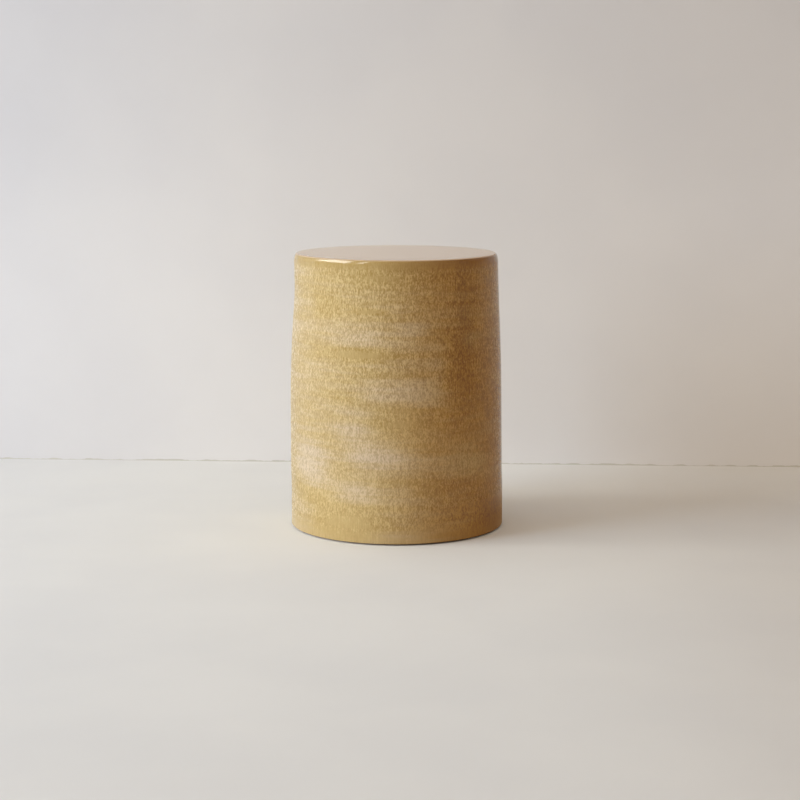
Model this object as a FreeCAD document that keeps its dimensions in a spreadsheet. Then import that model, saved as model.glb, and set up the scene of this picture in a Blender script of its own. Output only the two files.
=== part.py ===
"""A ceramic garden stool: a hollow glazed stoneware drum with a flat seat, open at its foot and standing on thin pads.

The frame is in millimetres, +Z up, with its origin on the floor under the middle of the drum.
"""

import FreeCAD, Part
import math
import os

import Sketcher

Vector = FreeCAD.Vector
ORIGIN = (-1, 1)  # a sketch's own origin, which lies on the drum's axis
CLOSE = 1e-4  # millimetres within which an edge is the one looked for
MM3_PER_CM3 = 1000

# Driving dimensions in millimetres, and one count
SIZES = {
    "stool_height": 450.0,  # floor to seat
    "base_radius": 175.5,  # outside of the glaze at the foot
    "rim_radius": 166.4,  # outside of the glaze at the seat, before its edge is rounded
    "base_draw": 1.4,  # what the lower wall draws in from the foot to the belly
    "rim_draw": 0.3,  # what the upper wall draws in from the neck to the rim
    "belly_height": 198.0,  # foot to the end of the straight lower wall
    "shoulder_drop": 90.0,  # seat down to where the drawn-in wall changes its curve
    "neck_drop": 40.0,  # seat down to the start of the straight upper wall
    "rim_round": 6.0,
    "foot_round": 1.0,  # the bare edge of the foot, wiped clean of glaze
    "wall_thickness": 10.0,
    "seat_thickness": 14.0,
    "seat_step": 7.0,  # what the seat slab drops inside the wall
    "seat_coil": 14.0,  # legs of the clay coil under the seat
    "seat_coil_hollow": 22.0,  # radius of its hollowed face
    "glaze_thickness": 0.6,
    "flange_width": 36.0,
    "flange_thickness": 12.0,
    "flange_round": 4.0,
    "foot_coil": 10.0,  # legs of the clay coil over the flange
    "foot_coil_hollow": 16.0,
    "pad_thickness": 2.0,
    "pad_radius": 12.0,
    "pad_bevel": 0.4,
    "pad_setback": 20.0,  # outside of the foot in to a pad's middle
    "pad_count": 6,
}

doc = FreeCAD.newDocument("garden_stool")
sheet = doc.addObject("Spreadsheet::Sheet", "sizes")
for row, (name, value) in enumerate(SIZES.items(), start=1):
    sheet.set(f"A{row}", name)
    sheet.set(f"B{row}", str(value))
    sheet.setAlias(f"B{row}", name)
doc.recompute()


class Size:
    """A value together with the expression that gives it from the sheet."""

    def __init__(self, value, text):
        self.value = value
        self.text = text

    def combined(self, sign, other, value):
        return Size(value, f"({self.text} {sign} {other.text})")

    def __add__(self, other):
        return self.combined("+", other, self.value + other.value)

    def __sub__(self, other):
        return self.combined("-", other, self.value - other.value)

    def __mul__(self, other):
        return self.combined("*", other, self.value * other.value)

    def __truediv__(self, other):
        return self.combined("/", other, self.value / other.value)


def size(name):
    return Size(sheet.get(name), f"sizes.{name}")


# Levels above the floor, from the foot up
floor_level = Size(0.0, "0")
foot_level = size("pad_thickness")
glaze_end_level = foot_level + size("foot_round")
flange_top_level = foot_level + size("flange_thickness")
foot_coil_level = flange_top_level + size("foot_coil")
belly_level = foot_level + size("belly_height")
seat_level = size("stool_height")
shoulder_level = seat_level - size("shoulder_drop")
neck_level = seat_level - size("neck_drop")
clay_top_level = seat_level - size("glaze_thickness")
slab_under_level = clay_top_level - size("seat_thickness")
lute_level = slab_under_level + size("seat_step")
seat_coil_level = slab_under_level - size("seat_coil")

# How far the faces of the side lie inside its glazed outline
glazed = Size(0.0, "0")
clay_outside = size("glaze_thickness")
clay_inside = size("glaze_thickness") + size("wall_thickness")

# The distance from the axis of a corner that lies on it
middle = Size(0.0, "0")


def lower_wall(level, inset):
    """A corner on the straight lower wall, at a level and inset from the glazed outline."""
    drawn_in = size("base_draw") * ((level - foot_level) / size("belly_height"))
    return size("base_radius") - drawn_in - inset, level


def upper_wall(level, inset):
    """A corner on the straight upper wall, at a level and inset from the glazed outline."""
    swell = size("rim_draw") * ((seat_level - level) / size("neck_drop"))
    return size("rim_radius") + swell - inset, level


class Sway:
    """Stands between two corners for the drawn-in wall: two arcs, smooth with each other and with the wall."""


class Hollow:
    """Stands between two corners for one arc of a radius, hollowed toward a third corner."""

    def __init__(self, radius, toward):
        self.radius = radius
        self.toward = toward


def point(corner):
    return Vector(corner[0].value, corner[1].value, 0)


def slope(corner, other):
    along = point(other) - point(corner)
    return along.x / along.y


def shallow_arc(begin, end, begin_slope, end_slope):
    """A nearly upright arc from its ends and its slopes there: it bulges by an eighth of its turn times its height."""
    bulge = (end_slope - begin_slope) * (end.y - begin.y) / 8
    return Part.ArcOfCircle(begin, (begin + end) / 2 - Vector(bulge, 0, 0), end)


class Outline:
    """A closed outline in a sketch, whose corners follow the sheet of sizes."""

    def __init__(self, sketch, path):
        self.sketch = sketch
        self.edges = []  # each edge, with the points where it begins and ends, and whether it is smooth there
        for index, item in enumerate(path):
            before, after = path[index - 1], path[(index + 1) % len(path)]
            if isinstance(item, Sway):
                self.add_sway(path[index - 2], before, after, path[(index + 2) % len(path)])
            elif isinstance(item, Hollow):
                self.add_hollow(before, item, after)
            elif not isinstance(after, (Sway, Hollow)):
                self.add_edge(Part.LineSegment(point(item), point(after)), point(item), point(after))
        self.join_edges()
        for item in path:
            if isinstance(item, tuple):
                self.place(point(item), *item)

    def add_edge(self, shape, begin, end, smooth=False):
        self.edges.append((self.sketch.addGeometry(shape), begin, end, smooth))

    def add_sway(self, wall_before, begin, end, wall_after):
        first_slope, last_slope = slope(wall_before, begin), slope(end, wall_after)
        start, finish, level = point(begin), point(end), shoulder_level.value
        near, far = level - start.y, finish.y - level
        lean = (first_slope - last_slope) / 2 + start.x / near + finish.x / far
        turn = Vector(lean / (1 / near + 1 / far), level, 0)
        turn_slope = 2 * (turn.x - start.x) / near - first_slope
        self.add_edge(shallow_arc(start, turn, first_slope, turn_slope), start, turn, True)
        self.add_edge(shallow_arc(turn, finish, turn_slope, last_slope), turn, finish, True)
        self.place(turn, None, shoulder_level)

    def add_hollow(self, begin, hollow, end):
        start, finish, radius = point(begin), point(end), hollow.radius.value
        half = (finish - start).Length / 2
        between = (start + finish) / 2
        depth = radius - math.sqrt(radius**2 - half**2)
        deepest = between + (point(hollow.toward) - between).normalize() * depth
        self.add_edge(Part.ArcOfCircle(start, deepest, finish), start, finish)
        self.bind("Radius", (self.edges[-1][0],), hollow.radius, "hollow")

    def join_edges(self):
        for (edge, _, place, smooth), (after, _, _, after_smooth) in zip(
            self.edges, self.edges[1:] + self.edges[:1]
        ):
            kind = "Tangent" if smooth or after_smooth else "Coincident"
            ends = (edge, self.end_at(edge, place), after, self.end_at(after, place))
            self.sketch.addConstraint(Sketcher.Constraint(kind, *ends))

    def end_at(self, edge, place):
        """The end of an edge, 1 or 2, that lies at a place: an arc may have been turned round."""
        return min((1, 2), key=lambda end: self.sketch.getPoint(edge, end).distanceToPoint(place))

    def place(self, spot, x, z):
        """Ties the point at a spot to its distance from the axis, where one is given, and its level."""
        edge = next(edge for edge, begin, end, _ in self.edges if spot in (begin, end))
        end = self.end_at(edge, spot)
        if x is middle:
            self.sketch.addConstraint(Sketcher.Constraint("Vertical", *ORIGIN, edge, end))
        elif x is not None:
            self.bind("DistanceX", (*ORIGIN, edge, end), x, "x")
        self.bind("DistanceY", (*ORIGIN, edge, end), z, "z")

    def bind(self, kind, ends, value, word):
        index = self.sketch.addConstraint(Sketcher.Constraint(kind, *ends, value.value))
        name = f"{word}{index}"
        self.sketch.renameConstraint(index, name)
        self.sketch.setExpression(f"Constraints.{name}", value.text)


def plane_of(body, role):
    return next(item for item in body.Origin.OriginFeatures if item.Role == role)


def new_sketch(body, name, role):
    sketch = body.newObject("Sketcher::SketchObject", name)
    sketch.AttachmentSupport = [(plane_of(body, role), "")]
    sketch.MapMode = "FlatFace"
    return sketch


def turned(label, path):
    """A body turned a full circle about Z from the closed outline through a path of corners."""
    body = doc.addObject("PartDesign::Body", label)
    sketch = new_sketch(body, f"{label}_section", "XZ_Plane")
    Outline(sketch, path)
    turning = body.newObject("PartDesign::Revolution", f"{label}_turned")
    turning.Profile = sketch
    turning.ReferenceAxis = (sketch, ["V_Axis"])
    turning.Angle = 360
    doc.recompute()
    if not sketch.FullyConstrained:
        raise RuntimeError(f"the section of {label} is not fully placed by its sizes")
    return body


def is_ring(edge, corner):
    """Whether an edge is the circle that a section's corner draws about Z."""
    radius, level = (value.value for value in corner)
    curve = edge.Curve
    return (
        isinstance(curve, Part.Circle)
        and abs(curve.Radius - radius) < CLOSE
        and abs(curve.Center.z - level) < CLOSE
    )


def finish_edge(body, kind, name, corner, amount):
    """Rounds or bevels the circular edge that a section's corner draws about Z."""
    tip = body.Tip
    rings = [f"Edge{n}" for n, edge in enumerate(tip.Shape.Edges, start=1) if is_ring(edge, corner)]
    if len(rings) != 1:
        raise RuntimeError(f"{body.Label} has {len(rings)} edges for {name}")
    feature = body.newObject(f"PartDesign::{kind}", name)
    feature.Base = (tip, rings)
    feature.setExpression("Radius" if kind == "Fillet" else "Size", amount.text)
    doc.recompute()


def make_drum_wall():
    """The open tube of clay: straight below, drawn in over the belly, straight again under the rim."""
    outer_foot = lower_wall(foot_level, clay_outside)
    path = [
        outer_foot,
        lower_wall(belly_level, clay_outside),
        Sway(),
        upper_wall(neck_level, clay_outside),
        upper_wall(lute_level, clay_outside),
        upper_wall(lute_level, clay_inside),
        upper_wall(neck_level, clay_inside),
        Sway(),
        lower_wall(belly_level, clay_inside),
        lower_wall(foot_level, clay_inside),
    ]
    wall = turned("drum_wall", path)
    finish_edge(wall, "Fillet", "drum_wall_foot_round", outer_foot, size("foot_round"))


def make_seat_slab():
    """The disc of clay that closes the drum: its edge lies on the wall, and its step drops inside."""
    outer_top = upper_wall(clay_top_level, clay_outside)
    path = [
        (middle, slab_under_level),
        upper_wall(slab_under_level, clay_inside),
        upper_wall(lute_level, clay_inside),
        upper_wall(lute_level, clay_outside),
        outer_top,
        (middle, clay_top_level),
    ]
    slab = turned("seat_slab", path)
    rim_round = size("rim_round") - size("glaze_thickness")
    finish_edge(slab, "Fillet", "seat_slab_rim_round", outer_top, rim_round)


def make_seat_coil():
    """The coil of clay smoothed into the corner under the seat."""
    corner = upper_wall(slab_under_level, clay_inside)
    under_seat = (corner[0] - size("seat_coil"), slab_under_level)
    down_wall = upper_wall(seat_coil_level, clay_inside)
    turned("seat_coil", [under_seat, corner, down_wall, Hollow(size("seat_coil_hollow"), corner)])


def make_foot_flange():
    """The ring of clay that turns inward at the open foot and carries the pads with the wall."""
    inner_edge = lower_wall(foot_level, clay_inside)[0] - size("flange_width")
    inner_top, inner_foot = (inner_edge, flange_top_level), (inner_edge, foot_level)
    outer_foot, outer_top = lower_wall(foot_level, clay_inside), lower_wall(flange_top_level, clay_inside)
    flange = turned("foot_flange", [inner_foot, outer_foot, outer_top, inner_top])
    finish_edge(flange, "Fillet", "foot_flange_top_round", inner_top, size("flange_round"))
    finish_edge(flange, "Fillet", "foot_flange_foot_round", inner_foot, size("flange_round"))


def make_foot_coil():
    """The coil of clay smoothed into the corner over the flange."""
    corner = lower_wall(flange_top_level, clay_inside)
    over_flange = (corner[0] - size("foot_coil"), flange_top_level)
    up_wall = lower_wall(foot_coil_level, clay_inside)
    turned("foot_coil", [over_flange, corner, up_wall, Hollow(size("foot_coil_hollow"), corner)])


def make_glaze_coat():
    """The coat of glaze over side, rim and seat, which ends above the bare foot."""
    outer_rim = upper_wall(seat_level, glazed)
    inner_rim = upper_wall(clay_top_level, clay_outside)
    path = [
        lower_wall(glaze_end_level, glazed),
        lower_wall(belly_level, glazed),
        Sway(),
        upper_wall(neck_level, glazed),
        outer_rim,
        (middle, seat_level),
        (middle, clay_top_level),
        inner_rim,
        upper_wall(neck_level, clay_outside),
        Sway(),
        lower_wall(belly_level, clay_outside),
        lower_wall(glaze_end_level, clay_outside),
    ]
    coat = turned("glaze_coat", path)
    finish_edge(coat, "Fillet", "glaze_coat_rim_round", outer_rim, size("rim_round"))
    inner_round = size("rim_round") - size("glaze_thickness")
    finish_edge(coat, "Fillet", "glaze_coat_inner_round", inner_rim, inner_round)


def make_foot_pad(number, angle):
    """One rubber pad, stuck under the joint of the wall and the flange."""
    label = f"foot_pad_{number}"
    body = doc.addObject("PartDesign::Body", label)
    sketch = new_sketch(body, f"{label}_circle", "XY_Plane")
    radius = size("pad_radius")
    sketch.addGeometry(Part.Circle(Vector(), Vector(0, 0, 1), radius.value))
    sketch.addConstraint(Sketcher.Constraint("Coincident", 0, 3, *ORIGIN))
    sketch.addConstraint(Sketcher.Constraint("Radius", 0, radius.value))
    sketch.renameConstraint(1, "radius")
    sketch.setExpression("Constraints.radius", radius.text)
    disc = body.newObject("PartDesign::Pad", f"{label}_disc")
    disc.Profile = sketch
    disc.setExpression("Length", foot_level.text)
    doc.recompute()
    finish_edge(body, "Chamfer", f"{label}_bevel", (radius, floor_level), size("pad_bevel"))
    pad_circle = size("base_radius") - size("pad_setback")
    body.setExpression("Placement.Base.x", f"{pad_circle.text} * cos({angle})")
    body.setExpression("Placement.Base.y", f"{pad_circle.text} * sin({angle})")


def make_parts():
    make_drum_wall()
    make_seat_slab()
    make_seat_coil()
    make_foot_flange()
    make_foot_coil()
    make_glaze_coat()
    pad_count = int(sheet.get("pad_count"))
    for index in range(pad_count):
        make_foot_pad(index + 1, 360 * index / pad_count)
    doc.recompute()


def write_parts():
    """Stops at the first thing that failed, and otherwise writes each body's shape."""
    for item in doc.Objects:
        if "Invalid" in item.State or "Error" in item.State:
            raise RuntimeError(f"{item.Label} failed: {item.State}")
    bodies = doc.findObjects("PartDesign::Body")
    for body in bodies:
        if body.Shape.isNull() or not body.Shape.isValid():
            raise RuntimeError(f"{body.Label} has no valid shape")
    os.makedirs("parts", exist_ok=True)
    for body in bodies:
        body.Shape.exportStep(f"parts/{body.Label}.step")
        print(f"{body.Label}: {body.Shape.Volume / MM3_PER_CM3:.1f} cm3")


make_parts()
write_parts()
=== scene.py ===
import math

import bmesh
import bpy
import numpy as np
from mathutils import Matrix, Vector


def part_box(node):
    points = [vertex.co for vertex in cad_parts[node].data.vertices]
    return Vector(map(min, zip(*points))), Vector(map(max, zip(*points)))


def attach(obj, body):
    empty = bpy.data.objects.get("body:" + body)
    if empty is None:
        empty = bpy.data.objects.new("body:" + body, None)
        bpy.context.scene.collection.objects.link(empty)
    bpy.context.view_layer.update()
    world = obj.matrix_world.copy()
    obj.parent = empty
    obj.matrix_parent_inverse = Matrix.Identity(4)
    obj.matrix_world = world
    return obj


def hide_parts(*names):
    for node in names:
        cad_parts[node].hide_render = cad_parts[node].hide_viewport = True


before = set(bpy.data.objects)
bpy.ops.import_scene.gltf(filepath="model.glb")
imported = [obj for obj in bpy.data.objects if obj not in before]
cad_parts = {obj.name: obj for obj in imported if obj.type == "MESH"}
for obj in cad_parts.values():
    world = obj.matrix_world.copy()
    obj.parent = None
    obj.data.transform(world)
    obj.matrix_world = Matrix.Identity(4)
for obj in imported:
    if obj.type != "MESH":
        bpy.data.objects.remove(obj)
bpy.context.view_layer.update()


# The drum's wall, an open tube of buff stoneware 10 mm thick, thrown on the wheel: straight below, drawn in
# over the belly and straight again under the rim. The fingers left shallow rings up its inside, and the drum
# leans a hair this way and that, as clay does before it is fired.
MM = 0.001
wall_low, wall_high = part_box("drum_wall")
coat_low, coat_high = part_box("glaze_coat")
FOOT_LEVEL = wall_low.z
LUTE_LEVEL = wall_high.z
SEAT_LEVEL = coat_high.z
BASE_RADIUS = 175.5 * MM
RIM_RADIUS = 166.4 * MM
BASE_DRAW = 1.4 * MM
RIM_DRAW = 0.3 * MM
BELLY_LEVEL = FOOT_LEVEL + 198 * MM
SHOULDER_LEVEL = SEAT_LEVEL - 90 * MM
NECK_LEVEL = SEAT_LEVEL - 40 * MM
GLAZE_THICKNESS = 0.6 * MM
WALL_THICKNESS = 10 * MM
CLAY_INSET = GLAZE_THICKNESS
BORE_INSET = GLAZE_THICKNESS + WALL_THICKNESS
FOOT_ROUND = 1.0 * MM
SIDES = 384  # facets round the drum
FINGER_RING = 9 * MM  # from one finger ring to the next
FINGER_DEPTH = 0.45 * MM
FINGER_START_LEVEL = FOOT_LEVEL + 25 * MM
COIL_LEAD = 2  # finger rings climbed in one turn of the wheel
# How far the middle of the drum stands to the right of its axis, at levels from the floor to the seat
LEANS = ((0, 0.0), (60, 0.2), (105, -0.65), (220, -1.2), (300, -1.0), (390, -0.1), (420, -0.8), (450, -1.5))
FOOT_SQUEEZE = 0.45 * MM  # what the foot is out of round, pressed in on its left
FOOT_SQUEEZE_END = 90 * MM
OUTSIDE_STEP = 18 * MM  # from one ring of facets to the next
INSIDE_STEP = 2 * MM
SHARP_ANGLE = 40  # degrees between faces, above which an edge stays crisp


def wall_radius(level):
    """The radius of the glazed side at a level: straight, then two smooth curves, then straight."""
    base_slope = -BASE_DRAW / (BELLY_LEVEL - FOOT_LEVEL)
    rim_slope = -RIM_DRAW / (SEAT_LEVEL - NECK_LEVEL)
    belly = BASE_RADIUS - BASE_DRAW
    neck = RIM_RADIUS + RIM_DRAW
    near = SHOULDER_LEVEL - BELLY_LEVEL
    far = NECK_LEVEL - SHOULDER_LEVEL
    shoulder = ((base_slope - rim_slope) / 2 + belly / near + neck / far) / (1 / near + 1 / far)
    turn_slope = 2 * (shoulder - belly) / near - base_slope
    if level <= BELLY_LEVEL:
        return belly + base_slope * (level - BELLY_LEVEL)
    if level <= SHOULDER_LEVEL:
        rise = level - BELLY_LEVEL
        return belly + base_slope * rise + (turn_slope - base_slope) * rise**2 / (2 * near)
    if level <= NECK_LEVEL:
        rise = level - SHOULDER_LEVEL
        return shoulder + turn_slope * rise + (rim_slope - turn_slope) * rise**2 / (2 * far)
    return neck + rim_slope * (level - NECK_LEVEL)


def eased(level, stands):
    """A smooth curve through a list of stands, each a level and a value in millimetres."""
    levels = [stand[0] * MM for stand in stands]
    values = [stand[1] * MM for stand in stands]
    place = int(np.clip(np.searchsorted(levels, level) - 1, 0, len(levels) - 2))
    share = min(max((level - levels[place]) / (levels[place + 1] - levels[place]), 0), 1)
    share = share**2 * (3 - 2 * share)
    return values[place] * (1 - share) + values[place + 1] * share


def arc(middle, radius, begin, end, steps, rise=None):
    """Points of an arc in the outline, from one angle to another in degrees above the outward direction.

    With a rise, the arc is an oval as high as that.
    """
    angles = [math.radians(begin + (end - begin) * step / steps) for step in range(steps + 1)]
    rise = rise or radius
    return [(middle[0] + radius * math.cos(a), middle[1] + rise * math.sin(a)) for a in angles]


def climb(begin, end, inset, step):
    """Points up or down the wall between two levels, at an inset from its glazed outline."""
    count = max(1, round(abs(end - begin) / step))
    levels = [begin + (end - begin) * place / count for place in range(count + 1)]
    return [(wall_radius(level) - inset, level) for level in levels]


def crossing(begin, end, steps):
    """Points on a straight line between two corners of the outline, without the first."""
    return [
        (begin[0] + (end[0] - begin[0]) * place / steps, begin[1] + (end[1] - begin[1]) * place / steps)
        for place in range(1, steps + 1)
    ]


def turned(name, outline, sides=SIDES, feel=None, middle=None):
    """A piece turned from its outline, about the drum's leaning axis or about an upright one of its own.

    A feel moves points outward and up, as hands and tools leave the clay.
    """
    angles = np.arange(sides) * 2 * math.pi / sides
    shape = bmesh.new()
    rings = []
    for radius, level in outline:
        x, y = middle or (eased(level, LEANS), 0.0)
        if radius < 1e-6:
            rings.append([shape.verts.new((x, y, level))])
            continue
        out, up = feel(radius, level, angles) if feel else (0 * angles, 0 * angles)
        reach = radius + out
        if middle is None:
            left_side = (1 - np.cos(angles)) / 2
            reach = reach - FOOT_SQUEEZE * left_side * max(0, 1 - level / FOOT_SQUEEZE_END)
        ring = np.stack([x + reach * np.cos(angles), y + reach * np.sin(angles), level + up], axis=1)
        rings.append([shape.verts.new(spot) for spot in ring])
    pairs = list(zip(rings, rings[1:]))
    if len(rings[0]) > 1 and len(rings[-1]) > 1:
        pairs.append((rings[-1], rings[0]))
    for low, high in pairs:
        for i in range(sides):
            after = (i + 1) % sides
            low_side = [low[0]] if len(low) == 1 else [low[i], low[after]]
            high_side = [high[0]] if len(high) == 1 else [high[after], high[i]]
            if len(low_side + high_side) > 2:
                shape.faces.new(low_side + high_side)
    bmesh.ops.recalc_face_normals(shape, faces=shape.faces)
    for face in shape.faces:
        face.smooth = True
    mesh = bpy.data.meshes.new(name)
    shape.to_mesh(mesh)
    shape.free()
    mesh.set_sharp_from_angle(angle=math.radians(SHARP_ANGLE))
    piece = bpy.data.objects.new(name, mesh)
    bpy.context.scene.collection.objects.link(piece)
    return piece


def waves(angles, phase, *turns):
    """A gentle unevenness round the drum, between -1 and 1, from waves that go round in whole turns."""
    shares = [1 / (1 + place) for place in range(len(turns))]
    swings = [np.sin(turn * angles + phase * (1 + place)) for place, turn in enumerate(turns)]
    return sum(share * swing for share, swing in zip(shares, swings)) / sum(shares)


def finger_rings(radius, level, angles):
    """Rings that the fingers left in the inside, climbing a little each turn. The outside stays as turned."""
    inside = radius < wall_radius(level) - BORE_INSET / 2
    if not inside or level < FINGER_START_LEVEL:
        return np.zeros(len(angles)), np.zeros(len(angles))
    climb_phase = 2 * math.pi * level / FINGER_RING - COIL_LEAD * angles
    press = 0.5 + 0.5 * np.cos(climb_phase + 0.6 * waves(angles, level * 40, 3, 5))
    uneven = 0.75 + 0.25 * waves(angles, level * 25, 2, 7)
    return FINGER_DEPTH * press * uneven, np.zeros(len(angles))


class Finish:
    """A material in the making. Each method adds a node and gives what comes out of it."""

    def __init__(self, name, slot_roughness):
        self.material = bpy.data.materials.new(name)
        self.material.use_nodes = True
        self.tree = self.material.node_tree
        self.shader = self.tree.nodes["Principled BSDF"]
        self.shader.inputs["Roughness"].default_value = slot_roughness
        self.place = self.add("ShaderNodeTexCoord", {}).outputs["Object"]

    def add(self, kind, inputs, **settings):
        made = self.tree.nodes.new(kind)
        for name, value in settings.items():
            setattr(made, name, value)
        for name, value in inputs.items():
            if isinstance(value, bpy.types.NodeSocket):
                self.tree.links.new(value, made.inputs[name])
            else:
                made.inputs[name].default_value = value
        return made

    def maths(self, kind, first, second=0.0, third=0.0):
        """One step of arithmetic, such as ADD or MULTIPLY."""
        return self.add("ShaderNodeMath", {0: first, 1: second, 2: third}, operation=kind).outputs[0]

    def speckle(self, width, height, detail=2.0, shift=0.0):
        """Noise from 0 to 1 whose grains have a width all round and a height."""
        sized = self.add(
            "ShaderNodeVectorMath",
            {0: self.place, 1: (1 / width, 1 / width, 1 / height), 2: (shift, shift, shift)},
            operation="MULTIPLY_ADD",
        ).outputs[0]
        grain = self.add("ShaderNodeTexNoise", {"Vector": sized, "Scale": 1.0, "Detail": detail})
        return grain.outputs["Fac"]

    def ramp(self, value, low, high, to_low=0.0, to_high=1.0):
        """Eases from one value to another while what comes in goes from low to high."""
        inputs = {"Value": value, "From Min": low, "From Max": high, "To Min": to_low, "To Max": to_high}
        eased_node = self.add("ShaderNodeMapRange", inputs, interpolation_type="SMOOTHSTEP")
        return eased_node.outputs["Result"]

    def blend(self, amount, first, second):
        """A colour between two, by an amount from 0 to 1."""
        mixed = self.add("ShaderNodeMix", {}, data_type="RGBA")
        for socket, value in ((mixed.inputs[0], amount), (mixed.inputs[6], first), (mixed.inputs[7], second)):
            if isinstance(value, bpy.types.NodeSocket):
                self.tree.links.new(value, socket)
            elif isinstance(value, float):
                socket.default_value = value
            else:
                socket.default_value = (*value, 1.0)
        return mixed.outputs[2]

    def colour(self, value):
        self.tree.links.new(value, self.shader.inputs["Base Color"])

    def roughness(self, value):
        self.tree.links.new(value, self.shader.inputs["Roughness"])

    def relief(self, height, depth, under=None):
        """Fine relief of a depth in metres, over any relief that it is given."""
        inputs = {"Height": height, "Distance": depth, "Strength": 1.0}
        if under is not None:
            inputs["Normal"] = under
        return self.add("ShaderNodeBump", inputs).outputs["Normal"]

    def surface(self, normal):
        self.tree.links.new(normal, self.shader.inputs["Normal"])


BUFF = (0.52, 0.41, 0.29)
BUFF_DARK = (0.40, 0.29, 0.19)
BUFF_PALE = (0.62, 0.52, 0.39)
IRON = (0.13, 0.075, 0.045)
SCORCH_AND_SHADE = (0.050, 0.021, 0.004)
SCORCH_AND_SHADE_LEVELS = (3.2 * MM, 3.6 * MM)  # the bare foot is painted dark below these, partly scorch and partly painted shade of the gap under it
SCORCH_AND_SHADE_FADE = (-160 * MM, 80 * MM)  # and less toward the lit left, between these places across
SCORCH_AND_SHADE_LEFT = 0.2
KILN_CLOUD = (60 * MM, 45 * MM)
GROG_GRAIN = (1.1 * MM, 1.1 * MM)
IRON_SPECK = (1.9 * MM, 1.9 * MM)
CLOUD_EDGE = (0.35, 0.65)  # the noise outside a cloud and inside it, and so on below
GROG_EDGE = (0.56, 0.68)
IRON_EDGE = (0.72, 0.78)
DRAG_MARK = (18 * MM, 0.9 * MM)  # lines that the grog drew as the wet clay turned under the hand
DRAG_DEPTH = 0.10 * MM
GROG_DEPTH = 0.14 * MM
CLAY_ROUGHNESS = (0.82, 0.95)
CLAY_MIRROR = 0.15


def stoneware(name, shift):
    """Bare fired stoneware: buff, cloudy from the kiln, gritty with grog, with a few iron specks."""
    clay = Finish(name, 0.9)
    cloud = clay.ramp(clay.speckle(*KILN_CLOUD, 3.0, shift), *CLOUD_EDGE)
    body = clay.blend(cloud, BUFF, BUFF_DARK)
    grog = clay.speckle(*GROG_GRAIN, 2.0)
    body = clay.blend(clay.ramp(grog, *GROG_EDGE, 0.0, 0.7), body, BUFF_PALE)
    iron = clay.speckle(*IRON_SPECK, 1.0, 7.0)
    body = clay.blend(clay.ramp(iron, *IRON_EDGE, 0.0, 0.8), body, IRON)
    across, _, level = clay.add("ShaderNodeSeparateXYZ", {0: clay.place}).outputs
    # The bare foot is painted dark: partly scorch, partly painted shade of the gap under it, less on the lit
    # left
    low_down = clay.ramp(level, *SCORCH_AND_SHADE_LEVELS, 1.0, 0.0)
    scorch_and_shade = clay.maths("MULTIPLY", low_down, clay.ramp(across, *SCORCH_AND_SHADE_FADE, SCORCH_AND_SHADE_LEFT, 1.0))
    clay.colour(clay.blend(scorch_and_shade, body, SCORCH_AND_SHADE))
    clay.roughness(clay.ramp(grog, 0.3, 0.7, *CLAY_ROUGHNESS))
    clay.shader.inputs["Specular IOR Level"].default_value = CLAY_MIRROR
    dragged = clay.relief(clay.speckle(*DRAG_MARK, 2.0), DRAG_DEPTH)
    clay.surface(clay.relief(grog, GROG_DEPTH, dragged))
    return clay.material


foot_middle = (wall_radius(FOOT_LEVEL) - CLAY_INSET - FOOT_ROUND, FOOT_LEVEL + FOOT_ROUND)
wall_outline = (
    climb(FOOT_LEVEL + FOOT_ROUND, LUTE_LEVEL, CLAY_INSET, OUTSIDE_STEP)
    + climb(LUTE_LEVEL, FOOT_LEVEL, BORE_INSET, INSIDE_STEP)
    + arc(foot_middle, FOOT_ROUND, -90, 0, 5)[:-1]
)
drum_wall = turned("drum_clay", wall_outline, feel=finger_rings)
drum_wall.data.materials.append(stoneware("bare_stoneware_wall", 0.0))
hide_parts("drum_wall")
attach(drum_wall, "root")


# The seat, a disc of the same clay thrown flat and luted on the wall while both were leather hard. Its edge
# lies on the wall, its step drops inside, and its underside still shows the spiral of the potter's rib.
slab_low, slab_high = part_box("seat_slab")
RIM_ROUND = 5 * MM  # the rounded rim, in from the side
RIM_DROP = 10 * MM  # and down from the seat, where the glaze drew it into a longer curve
CLAY_TOP_LEVEL = slab_high.z
SLAB_UNDER_LEVEL = slab_low.z
RIB_SPIRAL = 11 * MM  # from one turn of the rib's spiral to the next
RIB_DEPTH = 0.35 * MM
RIB_END = 145 * MM  # the radius where the spiral has faded out
RIB_FADE = 20 * MM


def rib_spiral(radius, level, angles):
    """A shallow spiral under the slab, which fades out before its edge."""
    if level > SLAB_UNDER_LEVEL + 1 * MM:
        return np.zeros(len(angles)), np.zeros(len(angles))
    fade = min(1.0, max(0.0, (RIB_END - radius) / RIB_FADE))
    press = 0.5 + 0.5 * np.cos(2 * math.pi * radius / RIB_SPIRAL - angles + 0.4 * waves(angles, 1.0, 2, 3))
    return np.zeros(len(angles)), RIB_DEPTH * fade * press


slab_round = RIM_ROUND - GLAZE_THICKNESS
slab_drop = CLAY_TOP_LEVEL - LUTE_LEVEL
slab_edge = wall_radius(CLAY_TOP_LEVEL) - CLAY_INSET
slab_step = wall_radius(LUTE_LEVEL) - BORE_INSET
slab_outline = (
    [(0.0, SLAB_UNDER_LEVEL)]
    + crossing((0.0, SLAB_UNDER_LEVEL), (slab_step, SLAB_UNDER_LEVEL), 90)
    + crossing((slab_step, SLAB_UNDER_LEVEL), (slab_step, LUTE_LEVEL), 2)
    + crossing((slab_step, LUTE_LEVEL), (slab_edge, LUTE_LEVEL), 2)[:-1]
    + arc((slab_edge - slab_round, LUTE_LEVEL), slab_round, 0, 90, 10, slab_drop)
    + crossing((slab_edge - slab_round, CLAY_TOP_LEVEL), (0.0, CLAY_TOP_LEVEL), 12)
)
seat_slab = turned("seat_clay", slab_outline, feel=rib_spiral)
seat_slab.data.materials.append(stoneware("bare_stoneware_seat", 3.0))
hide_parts("seat_slab")
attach(seat_slab, "root")


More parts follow.
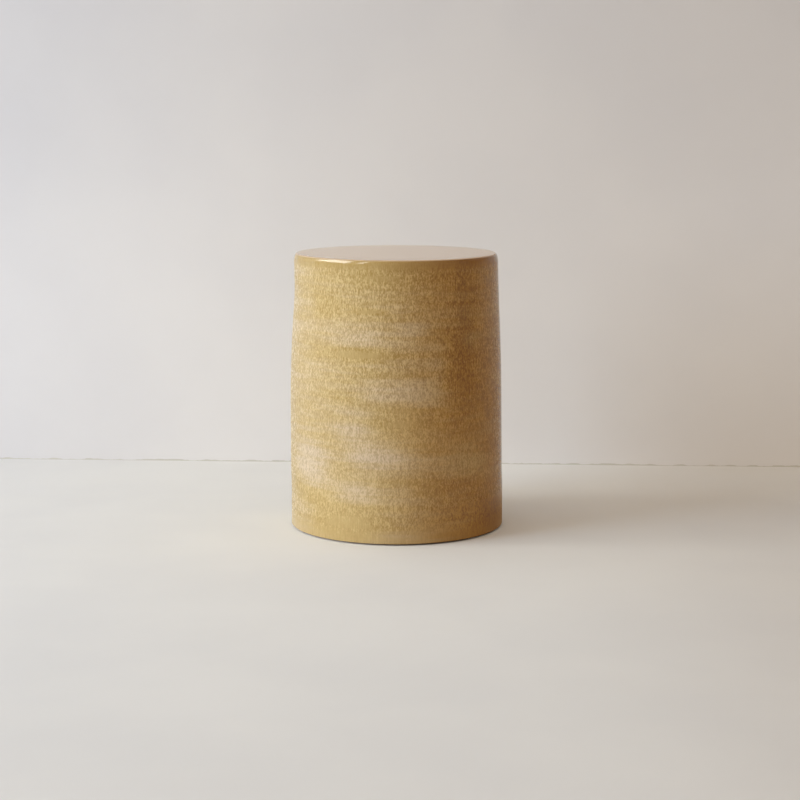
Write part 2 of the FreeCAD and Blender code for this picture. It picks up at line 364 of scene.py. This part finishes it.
# The coil under the seat, a rope of soft clay pressed into the corner with a thumb and smoothed to a hollow,
# so that the joint doesn't crack in the firing. The thumb's prints follow each other all round.
seat_coil_low, seat_coil_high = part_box("seat_coil")
SEAT_COIL_LEG = seat_coil_high.z - seat_coil_low.z
SEAT_COIL_HOLLOW = 22 * MM
THUMB_PRINTS = 38
THUMB_DEPTH = 0.8 * MM
THUMB_EDGE = 3 * MM  # how far from the coil's flat faces the prints fade out
FACE_STEPS = 16


def hollow_face(begin, end, radius, toward, steps):
    """Points of an arc from one corner to another, hollowed toward a third."""
    begin, end, toward = np.array(begin), np.array(end), np.array(toward)
    between = (begin + end) / 2
    half = np.linalg.norm(end - begin) / 2
    away = (between - toward) / np.linalg.norm(between - toward)
    middle = between + away * math.sqrt(radius**2 - half**2)
    first = math.atan2(begin[1] - middle[1], begin[0] - middle[0])
    last = math.atan2(end[1] - middle[1], end[0] - middle[0])
    turn = (last - first + math.pi) % (2 * math.pi) - math.pi
    angles = [first + turn * step / steps for step in range(steps + 1)]
    return [(middle[0] + radius * math.cos(a), middle[1] + radius * math.sin(a)) for a in angles]


def pressed_coil(prints, depth, corner, face_middle):
    """A feel that presses thumb prints into a coil's hollowed face and leaves its two flat faces alone."""
    reach = math.dist(corner, face_middle)
    into = ((corner[0] - face_middle[0]) / reach, (corner[1] - face_middle[1]) / reach)

    def feel(radius, level, angles):
        off_corner = min(abs(radius - corner[0]), abs(level - corner[1]))
        share = min(1.0, off_corner / THUMB_EDGE)
        thumb = np.abs(np.sin(angles * prints / 2 + 0.7 * waves(angles, 2.0, 3, 5)))
        press = depth * share * (1 - thumb**0.7) * (0.8 + 0.2 * waves(angles, 4.0, 7, 11))
        return press * into[0], press * into[1]

    return feel


corner = (wall_radius(SLAB_UNDER_LEVEL) - BORE_INSET, SLAB_UNDER_LEVEL)
under_seat = (corner[0] - SEAT_COIL_LEG, corner[1])
down_wall = (wall_radius(corner[1] - SEAT_COIL_LEG) - BORE_INSET, corner[1] - SEAT_COIL_LEG)
seat_face = hollow_face(under_seat, down_wall, SEAT_COIL_HOLLOW, corner, FACE_STEPS)
seat_coil = turned(
    "seat_coil_clay",
    seat_face + crossing(down_wall, corner, 3) + crossing(corner, under_seat, 3)[:-1],
    feel=pressed_coil(THUMB_PRINTS, THUMB_DEPTH, corner, seat_face[FACE_STEPS // 2]),
)
seat_coil.data.materials.append(stoneware("bare_stoneware_seat_coil", 5.0))
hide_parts("seat_coil")
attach(seat_coil, "root")


# The foot flange, a flat ring of the same clay turned inward at the open foot, which stiffens it and carries
# the pads. It was trimmed on the wheel, so its faces carry fine turning lines. A sponge softened its edge.
_, flange_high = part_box("foot_flange")
FLANGE_WIDTH = 36 * MM
FLANGE_ROUND = 4 * MM
FLANGE_TOP_LEVEL = flange_high.z
TRIM_LINE = 3.2 * MM
TRIM_DEPTH = 0.12 * MM
TRIM_CLEAR = 2 * MM  # how far the lines stay away from the wall

flange_outer = wall_radius(FOOT_LEVEL) - BORE_INSET
flange_inner = flange_outer - FLANGE_WIDTH


def trim_lines(radius, level, angles):
    """Fine grooves round the flat faces of the flange, cut into the clay."""
    flat = level < FOOT_LEVEL + 0.1 * MM or level > FLANGE_TOP_LEVEL - 0.1 * MM
    if not flat or radius < flange_inner + FLANGE_ROUND or radius > flange_outer - TRIM_CLEAR:
        return np.zeros(len(angles)), np.zeros(len(angles))
    groove = 0.5 + 0.5 * np.cos(2 * math.pi * radius / TRIM_LINE + 0.5 * waves(angles, 3.0, 1, 4))
    inward = 1 if level < (FOOT_LEVEL + FLANGE_TOP_LEVEL) / 2 else -1
    return np.zeros(len(angles)), inward * TRIM_DEPTH * groove


flange_outline = (
    arc((flange_inner + FLANGE_ROUND, FOOT_LEVEL + FLANGE_ROUND), FLANGE_ROUND, -90, -180, 8)
    + arc((flange_inner + FLANGE_ROUND, FLANGE_TOP_LEVEL - FLANGE_ROUND), FLANGE_ROUND, 180, 90, 8)
    + crossing((flange_inner + FLANGE_ROUND, FLANGE_TOP_LEVEL), (flange_outer, FLANGE_TOP_LEVEL), 40)
    + crossing((flange_outer, FLANGE_TOP_LEVEL), (flange_outer, FOOT_LEVEL), 4)
    + crossing((flange_outer, FOOT_LEVEL), (flange_inner + FLANGE_ROUND, FOOT_LEVEL), 40)[:-1]
)
foot_flange = turned("flange_clay", flange_outline, feel=trim_lines)
foot_flange.data.materials.append(stoneware("bare_stoneware_flange", 9.0))
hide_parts("foot_flange")
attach(foot_flange, "root")


# The coil over the flange, a rope of the same clay pressed with a thumb into the corner between it and the
# wall, as under the seat.
foot_coil_low, foot_coil_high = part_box("foot_coil")
FOOT_COIL_LEG = foot_coil_high.z - foot_coil_low.z
FOOT_COIL_HOLLOW = 16 * MM

corner = (wall_radius(FLANGE_TOP_LEVEL) - BORE_INSET, FLANGE_TOP_LEVEL)
over_flange = (corner[0] - FOOT_COIL_LEG, corner[1])
up_wall = (wall_radius(corner[1] + FOOT_COIL_LEG) - BORE_INSET, corner[1] + FOOT_COIL_LEG)
foot_face = hollow_face(over_flange, up_wall, FOOT_COIL_HOLLOW, corner, FACE_STEPS)
foot_coil = turned(
    "foot_coil_clay",
    foot_face + crossing(up_wall, corner, 3) + crossing(corner, over_flange, 3)[:-1],
    feel=pressed_coil(THUMB_PRINTS, THUMB_DEPTH, corner, foot_face[FACE_STEPS // 2]),
)
foot_coil.data.materials.append(stoneware("bare_stoneware_foot_coil", 13.0))
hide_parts("foot_coil")
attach(foot_coil, "root")


# The glaze, one coat 0.6 mm thick over the seat, the rounded rim and the side, poured and then fired to a
# satin gloss. It is honey coloured with fine upright flecks, and bands and clouds of cream lie round the drum
# where the pour overlapped. It is painted browner and darker on the right, partly where the flame turned it
# and partly as painted shade on the side away from the windows. It is darker still at the right end of the
# foot, as painted shade where it mirrors the floor's shadow. The rim and the foot are calmer.
GLAZE_END_LEVEL = coat_low.z
GLAZE_LIP = 0.3 * MM  # how far the end of the coat rounds over, above the bare foot
THROWN_RING = 13 * MM  # from one ring of the throwing rib to the next
THROWN_DEPTH = 0.12 * MM
THROWN_FADE = 25 * MM  # the rings fade out over this, below the seat
COAT_STEP = 3 * MM  # from one ring of facets to the next
COAT_BACK_STEP = 15 * MM
# The glaze's dark grain, its pale grain and both in its cream, then the same four on the browner, darker
# right, partly where the flame turned it and partly painted shade
HONEY = (0.355, 0.228, 0.062)
STRAW = (0.612, 0.456, 0.212)
DUN = (0.410, 0.303, 0.177)
OAT = (0.655, 0.520, 0.360)
UMBER = (0.170, 0.057, 0.002)
CARAMEL = (0.405, 0.206, 0.025)
DUSK = (0.222, 0.119, 0.030)
BISCUIT = (0.435, 0.281, 0.098)
TOP_CREAM = (0.640, 0.462, 0.297)  # on the seat, and on its right, darker: partly the flame's flash and partly painted shade
TOP_FLASHED_AND_SHADED = (0.575, 0.404, 0.262)
TOP_LEVELS = (448 * MM, 449.8 * MM)  # where the colour of the rim passes into that of the seat
FLASH_AND_SHADE_TURN = 75  # degrees round from the front to the browner, darker side: partly flash, partly painted shade
FLASH_AND_SHADE_EDGE = (-0.10, 0.95)  # from its end to its full strength, as cosines of the turn away from that side
CREAM_DRIFT = (150 * MM, 22 * MM)  # the width round the drum and the height of a drift, and so on below
STREAK = (120 * MM, 7 * MM)
FINE_FLECK = (1.5 * MM, 3.6 * MM)
BROAD_FLECK = (3.2 * MM, 9.0 * MM)
DRIP = (1.7 * MM, 28.0 * MM)
SWELL = (7 * MM, 12 * MM)
SWELL_DEPTH = 0.05 * MM
GRAIN_DEPTH = 0.015 * MM
DRIFT_STRENGTH = 0.22
STREAK_STRENGTH = 0.18
FINE_SHARE = 0.6  # of the two flecks in the grain
BROAD_SHARE = 0.4
CREAM_LIFT = 0.04  # how much paler cream makes the grain
FLECK_EDGE = (0.35, 0.64)  # the noise at which the grain is dark, and at which it is pale
# Where the flecks give way to faint drips: from where to where, and from how much to how much. The first
# three go by level, the left side by the cosine of the turn away from the browner, shaded side, the last by
# the cream.
RIM_CALM = (430 * MM, 443 * MM, 0.0, 0.85)
FOOT_CALM = (8 * MM, 40 * MM, 0.8, 0.0)
LOW_CALM = (180 * MM, 260 * MM, 0.15, 0.0)
LEFT_CALM = (-0.8, 0.1, 0.15, 0.0)
CLEAR_CALM = (-0.9, -0.45, 0.8, 0.0)
DRIP_GRAIN = (0.20, 0.80, 0.36, 0.74)  # from which noise to which, and the grain that the drips make of it
RIM_DARKER = -0.28  # what the rim takes from the grain
HAZE_EDGE = (-0.4, 1.1)  # the shares of cream between which the colours turn to those of the cream
TOP_MOTTLE = (0.35, 0.75, 0.0, 0.25)  # from which noise to which, and how much pale cream that mixes in
SATIN = (0.24, 0.28)  # the roughness of the dark grain and of the pale
RIM_GLOSS = (436 * MM, 446 * MM, 0.0, -0.13)  # what the rim takes from the roughness, by level
DRY_FOOT = (20 * MM, 70 * MM, 0.30, 0.0)  # and what the foot adds to it, on the browner, shaded side
DRY_SIDE = (0.3, 0.8)
PATCH_END = 1.3  # where a patch ends, as a share of its half width and half height
# Clouds of cream, or clear patches where the strength is below zero: degrees round from the front, level,
# half width and half height in millimetres, strength
CLOUDS = (
    (-5, 424, 150, 32, -0.45),
    (-40, 376, 46, 26, -0.4),
    (-15, 370, 38, 5, -1.3),
    (-16, 338, 95, 20, 0.45),
    (9, 340, 34, 16, 0.6),
    (-22, 301, 80, 15, -0.65),
    (22, 290, 24, 40, 0.3),
    (2, 245, 90, 24, 0.65),
    (16, 243, 50, 26, 0.4),
    (-28, 232, 45, 6, -0.45),
    (6, 215, 66, 5, -0.8),
    (14, 224, 40, 8, 0.3),
    (2, 195, 62, 19, -0.65),
    (-22, 174, 44, 50, 0.4),
    (-3, 139, 70, 26, 0.65),
    (-13, 138, 45, 24, 0.25),
    (-53, 125, 60, 50, 0.9),
    (38, 130, 70, 32, 0.8),
    (-50, 66, 60, 17, -0.5),
    (-28, 34, 80, 28, -1.1),
    (18, 86, 40, 18, -0.6),
    (-20, 82, 40, 26, 0.4),
    # painted shade: a clear, darker patch at the right end of the foot, where it mirrors the floor's shadow
    (60, 34, 50, 34, -0.7),
    (35, 262, 36, 60, -0.45),
    (44, 322, 28, 18, 0.5),
    (122, 372, 90, 18, 0.5),
    (125, 300, 80, 12, -0.5),
    (120, 225, 90, 24, 0.6),
    (126, 95, 80, 24, 0.5),
    (130, 40, 90, 20, -0.7),
    (-120, 345, 90, 20, 0.55),
    (-124, 262, 80, 14, -0.5),
    (-120, 170, 90, 24, 0.6),
    (-122, 60, 80, 22, -0.6),
)
# Places where the grain is paler, or darker where the strength is below zero, in the same order
PALE_PLACES = (
    (-28, 66, 100, 62, 0.20),
    (7, 178, 50, 75, 0.18),
    (24, 200, 16, 100, 0.13),
    (40, 345, 26, 140, -0.27),
    # painted shade at the right end of the foot, where it mirrors the floor's shadow
    (62, 26, 50, 40, -0.18),
)


def thrown_rings(radius, level, angles):
    """Faint rings that the throwing rib left in the outside, all of them inward of the true outline."""
    if radius < wall_radius(level) - 0.1 * MM or level < GLAZE_END_LEVEL + 1 * MM:
        return np.zeros(len(angles)), np.zeros(len(angles))
    phase = 2 * math.pi * level / THROWN_RING
    broad_ring = np.cos(phase + waves(angles, 0.5, 1, 3))
    narrow_ring = np.cos(2.7 * phase + waves(angles, 2.5, 2, 3))
    fade = min(1.0, (SEAT_LEVEL - level) / THROWN_FADE)
    return -THROWN_DEPTH * fade * (0.5 + 0.3 * broad_ring + 0.2 * narrow_ring), np.zeros(len(angles))


rim_level = SEAT_LEVEL - RIM_DROP
rim_middle = wall_radius(SEAT_LEVEL) - RIM_ROUND
rim_under = (RIM_ROUND - GLAZE_THICKNESS, RIM_DROP - GLAZE_THICKNESS)
coat_outline = (
    [(wall_radius(GLAZE_END_LEVEL) - GLAZE_LIP, GLAZE_END_LEVEL)]
    + climb(GLAZE_END_LEVEL + GLAZE_LIP, rim_level, 0.0, COAT_STEP)[:-1]
    + arc((rim_middle, rim_level), RIM_ROUND, 0, 90, 18, RIM_DROP)
    + crossing((rim_middle, SEAT_LEVEL), (0.0, SEAT_LEVEL), 14)
    + [(0.0, CLAY_TOP_LEVEL)]
    + crossing((0.0, CLAY_TOP_LEVEL), (rim_middle, CLAY_TOP_LEVEL), 4)
    + arc((rim_middle, rim_level), rim_under[0], 90, 0, 8, rim_under[1])[1:]
    + climb(rim_level, GLAZE_END_LEVEL, CLAY_INSET, COAT_BACK_STEP)[1:]
)
glaze_coat = turned("glaze", coat_outline, feel=thrown_rings)

glaze = Finish("ochre_glaze", 0.25)
across, back, level = glaze.add("ShaderNodeSeparateXYZ", {0: glaze.place}).outputs
toward_front = glaze.maths("MULTIPLY", back, -1.0)
round_angle = glaze.maths("ARCTAN2", across, toward_front)
round_way = glaze.maths("MULTIPLY", round_angle, BASE_RADIUS)
unrolled = glaze.add("ShaderNodeCombineXYZ", {0: round_way, 1: level}).outputs[0]


def patched(share, patches):
    """A share with soft oval patches added, each of them strongest in its middle."""
    for degrees, height, half_width, half_height, strength in patches:
        scale = (1 / (half_width * MM), 1 / (half_height * MM), 0.0)
        shift = (-math.radians(degrees) * BASE_RADIUS * scale[0], -height * MM * scale[1], 0.0)
        inputs = {0: unrolled, 1: scale, 2: shift}
        centred = glaze.add("ShaderNodeVectorMath", inputs, operation="MULTIPLY_ADD").outputs[0]
        length = glaze.add("ShaderNodeVectorMath", {0: centred}, operation="LENGTH")
        patch = glaze.ramp(length.outputs["Value"], 0.0, PATCH_END, strength, 0.0)
        share = glaze.maths("ADD", share, patch)
    return share


drifts = glaze.speckle(*CREAM_DRIFT, 3.0, 11.0)
drifts = glaze.ramp(drifts, 0.25, 0.75, -DRIFT_STRENGTH, DRIFT_STRENGTH)
streaks = glaze.speckle(*STREAK, 2.0, 3.0)
streaks = glaze.ramp(streaks, 0.3, 0.7, -STREAK_STRENGTH, STREAK_STRENGTH)
cream_share = patched(glaze.maths("ADD", drifts, streaks), CLOUDS)

flash_and_shade_turn = glaze.maths("SUBTRACT", round_angle, math.radians(FLASH_AND_SHADE_TURN))
to_flash_and_shade = glaze.maths("COSINE", flash_and_shade_turn)

# The rim, the foot, the lower half, the left side and the clear patches are each calmer than the rest
rim_calm = glaze.ramp(level, *RIM_CALM)
foot_calm = glaze.ramp(level, *FOOT_CALM)
low_calm = glaze.ramp(level, *LOW_CALM)
left_calm = glaze.ramp(to_flash_and_shade, *LEFT_CALM)
clear_calm = glaze.ramp(cream_share, *CLEAR_CALM)
calm = rim_calm
for other in (foot_calm, low_calm, left_calm, clear_calm):
    calm = glaze.maths("MAXIMUM", calm, other)

fine = glaze.speckle(*FINE_FLECK, 2.0)
broad = glaze.speckle(*BROAD_FLECK, 2.0, 5.0)
drips = glaze.speckle(*DRIP, 2.0, 29.0)
flecks = glaze.maths("MULTIPLY_ADD", fine, FINE_SHARE, glaze.maths("MULTIPLY", broad, BROAD_SHARE))
flecks = glaze.maths("MULTIPLY_ADD", cream_share, CREAM_LIFT, flecks)
mottled = glaze.ramp(flecks, *FLECK_EDGE)
even = glaze.ramp(drips, *DRIP_GRAIN)
grain = glaze.maths("MULTIPLY_ADD", glaze.maths("SUBTRACT", even, mottled), calm, mottled)
grain = glaze.maths("MULTIPLY_ADD", rim_calm, RIM_DARKER, grain)
grain = patched(grain, PALE_PLACES)
haze = glaze.ramp(cream_share, *HAZE_EDGE)
haze = glaze.maths("MULTIPLY", haze, glaze.maths("SUBTRACT", 1.0, rim_calm))

# The right side is painted browner and darker: partly the flame's flash, partly painted shade
flash_and_shade = glaze.ramp(to_flash_and_shade, *FLASH_AND_SHADE_EDGE)
dark_grain = glaze.blend(haze, glaze.blend(flash_and_shade, HONEY, UMBER), glaze.blend(flash_and_shade, DUN, DUSK))
pale_grain = glaze.blend(haze, glaze.blend(flash_and_shade, STRAW, CARAMEL), glaze.blend(flash_and_shade, OAT, BISCUIT))
on_top = glaze.ramp(level, *TOP_LEVELS)
# The seat is painted darker toward the right: partly the flame's flash, partly painted shade
top = glaze.blend(glaze.ramp(across, -RIM_RADIUS, RIM_RADIUS), TOP_CREAM, TOP_FLASHED_AND_SHADED)
top = glaze.blend(glaze.ramp(broad, *TOP_MOTTLE), top, OAT)
glaze.colour(glaze.blend(on_top, glaze.blend(grain, dark_grain, pale_grain), top))
satin = glaze.ramp(grain, 0.0, 1.0, *SATIN)
satin = glaze.maths("ADD", satin, glaze.ramp(level, *RIM_GLOSS))
dry = glaze.maths("MULTIPLY", glaze.ramp(level, *DRY_FOOT), glaze.ramp(to_flash_and_shade, *DRY_SIDE))
glaze.roughness(glaze.maths("ADD", satin, dry))
swell = glaze.relief(glaze.speckle(*SWELL, 1.0, 23.0), SWELL_DEPTH)
glaze.surface(glaze.relief(grain, GRAIN_DEPTH, swell))
glaze.shader.inputs["IOR"].default_value = 1.5
glaze_coat.data.materials.append(glaze.material)
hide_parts("glaze_coat")
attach(glaze_coat, "root")


# Six pads of black rubber, punched from sheet 2 mm thick and stuck under the foot, where the wall and the
# flange meet. They lift the bare clay off the floor and leave a thin dark gap all round.
PAD_BEVEL = 0.4 * MM
PAD_SIDES = 64
PUNCH_PULL = 0.2 * MM
MOULD_GRAIN = (0.5 * MM, 0.5 * MM)
DUST_CLOUD = (6 * MM, 6 * MM)
RUBBER = (0.030, 0.028, 0.026)
RUBBER_DUST = (0.075, 0.070, 0.064)
RUBBER_ROUGHNESS = (0.62, 0.82)


def rubber(name):
    """Matt black rubber with a fine moulded grain, a little dusty."""
    sheet = Finish(name, 0.7)
    grain = sheet.speckle(*MOULD_GRAIN, 2.0)
    dust = sheet.ramp(sheet.speckle(*DUST_CLOUD, 3.0), 0.45, 0.75, 0.0, 0.6)
    sheet.colour(sheet.blend(dust, RUBBER, RUBBER_DUST))
    sheet.roughness(sheet.ramp(grain, 0.3, 0.7, *RUBBER_ROUGHNESS))
    sheet.surface(sheet.relief(grain, 0.05 * MM))
    return sheet.material


def punched_pad(name, middle, radius, low, high):
    """A disc with a bevel round its underside, and its top edge pulled over a little by the punch."""
    outline = [
        (0.0, low),
        (radius * 0.6, low),
        (radius - PAD_BEVEL, low),
        (radius, low + PAD_BEVEL),
        (radius, high - PUNCH_PULL),
        (radius - 0.3 * PUNCH_PULL, high - 0.3 * PUNCH_PULL),
        (radius - PUNCH_PULL, high),
        (radius * 0.6, high),
        (0.0, high),
    ]
    return turned(name, outline, sides=PAD_SIDES, middle=middle)


black_rubber = rubber("black_rubber")
pads = []
for number in range(1, 7):
    node = f"foot_pad_{number}"
    low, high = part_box(node)
    middle = ((low.x + high.x) / 2, (low.y + high.y) / 2)
    pad = punched_pad(f"pad_{number}", middle, (high.x - low.x) / 2, low.z, high.z)
    pad.data.materials.append(black_rubber)
    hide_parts(node)
    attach(pad, "root")
    pads.append(pad)


# The room, which isn't part of the stool: a pale floor of trowelled plaster and a wall behind it of the same,
# which meet in a thin uneven line of shade. Painted shade darkens the wall up high, the floor toward the
# front and both toward the left, and a warm painted shade darkens both toward the right. Both are seen
# through from behind, so that the stool shows from every side.
WALL_BACK = 0.524  # behind the stool's middle
WALL_TURN = -0.055  # how much nearer the wall comes with each metre to the right
ROOM_REACH = 9.0
WALL_TOP = 6.0
FLOOR_COLOUR = (0.806, 0.808, 0.797)
WALL_LOW_COLOUR = (0.797, 0.780, 0.775)
WALL_HIGH_SHADED_COLOUR = (0.642, 0.625, 0.624)
WALL_FADE = (0.15, 1.0)  # the levels between which the wall is painted darker upward, as shade
SEAM_COLOUR = (0.60, 0.58, 0.53)
SEAM_HEIGHT = 2.5 * MM
COOL_SHADE = (0.10, 0.13, 0.28)
WARM_SHADE = (0.22, 0.10, 0.02)
LEFT_SHADE = 0.13  # how much cool shade goes in: painted shade on the left and in front, and tone in the trowel's clouds
FRONT_SHADE = 0.08
TROWEL_SHADE = 0.04
FLOOR_RIGHT_SHADE = 0.14  # how much warm painted shade goes in on the right
WALL_RIGHT_SHADE = 0.03
LEFT_FADE = (-0.95, -0.15)  # the places across, or back, between which each shade comes or goes
FRONT_FADE = (-1.1, 0.1)
RIGHT_FADE = (0.15, 0.65)
TROWEL_CLOUD = (260 * MM, 260 * MM)
SEAM_WAVER = (30 * MM, 30 * MM)
SEAM_SOFT = 1.5 * MM


def plaster(name, low_colour, high_colour, right_shade, seam_colour=None):
    """Pale trowelled plaster that shows from one side only, painted with shade that darkens it up the wall
    and across.
    """
    coat = Finish(name, 0.75)
    across, back, level = coat.add("ShaderNodeSeparateXYZ", {0: coat.place}).outputs
    tone_and_shade = coat.blend(coat.ramp(level, *WALL_FADE), low_colour, high_colour)
    clouds = coat.ramp(coat.speckle(*TROWEL_CLOUD, 3.0, 17.0), 0.3, 0.7, 0.0, TROWEL_SHADE)
    left = coat.ramp(across, *LEFT_FADE, LEFT_SHADE, 0.0)
    front = coat.ramp(back, *FRONT_FADE, FRONT_SHADE, 0.0)
    right = coat.ramp(across, *RIGHT_FADE, 0.0, right_shade)
    tone_and_shade = coat.blend(coat.maths("ADD", clouds, left), tone_and_shade, COOL_SHADE)
    tone_and_shade = coat.blend(front, tone_and_shade, COOL_SHADE)
    tone_and_shade = coat.blend(right, tone_and_shade, WARM_SHADE)
    if seam_colour:
        uneven = coat.ramp(coat.speckle(*SEAM_WAVER, 3.0, 31.0), 0.35, 0.65, 0.0, SEAM_HEIGHT)
        seam = coat.ramp(coat.maths("SUBTRACT", level, uneven), 0.0, SEAM_SOFT, 1.0, 0.0)
        tone_and_shade = coat.blend(seam, tone_and_shade, seam_colour)
    coat.colour(tone_and_shade)
    coat.shader.inputs["Specular IOR Level"].default_value = 0.0
    seen = coat.add("ShaderNodeLightPath", {}).outputs["Is Camera Ray"]
    behind = coat.add("ShaderNodeNewGeometry", {}).outputs["Backfacing"]
    hidden = coat.maths("MULTIPLY", seen, behind)
    clear = coat.add("ShaderNodeBsdfTransparent", {}).outputs[0]
    both = coat.add("ShaderNodeMixShader", {0: hidden, 1: coat.shader.outputs[0], 2: clear})
    output = coat.tree.nodes["Material Output"]
    coat.tree.links.new(both.outputs[0], output.inputs["Surface"])
    return coat.material


def sheet_of(name, corners, material):
    """A flat sheet of the room between four corners."""
    mesh = bpy.data.meshes.new(name)
    mesh.from_pydata(corners, [], [(0, 1, 2, 3)])
    piece = bpy.data.objects.new(name, mesh)
    bpy.context.scene.collection.objects.link(piece)
    mesh.materials.append(material)


floor_plaster = plaster("floor_plaster", FLOOR_COLOUR, FLOOR_COLOUR, FLOOR_RIGHT_SHADE)
wall_plaster = plaster("wall_plaster", WALL_LOW_COLOUR, WALL_HIGH_SHADED_COLOUR, WALL_RIGHT_SHADE, SEAM_COLOUR)
left_back = WALL_BACK - WALL_TURN * ROOM_REACH
right_back = WALL_BACK + WALL_TURN * ROOM_REACH
floor_front = [(-ROOM_REACH, -ROOM_REACH, 0), (ROOM_REACH, -ROOM_REACH, 0)]
seam_line = [(ROOM_REACH, right_back, 0), (-ROOM_REACH, left_back, 0)]
wall_top = [(ROOM_REACH, right_back, WALL_TOP), (-ROOM_REACH, left_back, WALL_TOP)]
sheet_of("floor", floor_front + seam_line, floor_plaster)
sheet_of("wall", seam_line[::-1] + wall_top, wall_plaster)


# The light: two tall soft windows on the left, the second further round to the front, in a pale room. The
# glaze mirrors two lamps of their own instead, a broad sheen and a narrow gleam, which light nothing.
def soft_lamp(name, degrees, distance, low, high, width, power, colour, lights=True, mirrored=True):
    """An upright lamp at an azimuth from the front, facing the stool, between two heights."""
    lamp = bpy.data.lights.new(name, "AREA")
    lamp.shape = "RECTANGLE"
    lamp.size = width
    lamp.size_y = high - low
    lamp.energy = power
    lamp.color = colour
    holder = bpy.data.objects.new(name, lamp)
    turn = math.radians(degrees)
    holder.location = (distance * math.sin(turn), -distance * math.cos(turn), (low + high) / 2)
    holder.rotation_euler = (math.radians(90), 0, turn)
    holder.visible_diffuse = lights
    holder.visible_glossy = mirrored
    bpy.context.scene.collection.objects.link(holder)


soft_lamp(
    "window",
    degrees=-84,
    distance=4.0,
    low=0.25,
    high=4.0,
    width=1.35,
    power=86.0,
    colour=(0.95, 1.0, 0.99),
    mirrored=False,
)
soft_lamp(
    "second_window",
    degrees=-62,
    distance=3.6,
    low=0.25,
    high=3.0,
    width=1.3,
    power=80.58,
    colour=(0.6961, 0.8431, 1.0),
    mirrored=False,
)
soft_lamp(
    "window_sheen",
    degrees=-84,
    distance=2.9,
    low=1.5,
    high=4.0,
    width=2.9,
    power=250.0,
    colour=(1.0, 0.99, 0.97),
    lights=False,
)
soft_lamp(
    "gleam",
    degrees=-41,
    distance=3.2,
    low=1.6,
    high=4.5,
    width=0.40,
    power=25.0,
    colour=(1.0, 0.98, 0.95),
    lights=False,
)

# A lamp below the floor lights only the bare clay and the pads, so that the open foot shows from below. From
# the front it reaches only the thin line of the foot.
UNDER_LAMP_TILT = 160  # degrees from straight down, so it shines up and a little to the back
bare_pieces = bpy.data.collections.new("bare_pieces")
for piece in (drum_wall, seat_slab, seat_coil, foot_flange, foot_coil, *pads):
    bare_pieces.objects.link(piece)
under = bpy.data.lights.new("under_lamp", "AREA")
under.size = 0.8
under.energy = 5.0
under_lamp = bpy.data.objects.new("under_lamp", under)
under_lamp.location = (0.0, -0.5, -1.4)
under_lamp.rotation_euler = (math.radians(UNDER_LAMP_TILT), 0, 0)
under_lamp.light_linking.receiver_collection = bare_pieces
under_lamp.light_linking.blocker_collection = bare_pieces
bpy.context.scene.collection.objects.link(under_lamp)

ROOM_COLOUR = (1.0, 0.83, 0.64)
ROOM_STRENGTH = 0.64
world = bpy.data.worlds.new("room")
world.use_nodes = True
background = world.node_tree.nodes["Background"]
background.inputs["Color"].default_value = (*ROOM_COLOUR, 1.0)
background.inputs["Strength"].default_value = ROOM_STRENGTH
bpy.context.scene.world = world
bpy.context.scene.view_settings.view_transform = "Standard"

# The camera stands in front, a little above the seat, and looks down on it
CAMERA_PLACE = (0.0054, -3.086, 0.690)
CAMERA_DIP = 8.914  # degrees below level
lens = bpy.data.cameras.new("camera")
lens.lens = 85.0
lens.sensor_width = 36.0
camera = bpy.data.objects.new("camera", lens)
camera.location = CAMERA_PLACE
camera.rotation_euler = (math.radians(90 - CAMERA_DIP), 0, 0)
bpy.context.scene.collection.objects.link(camera)
bpy.context.scene.camera = camera
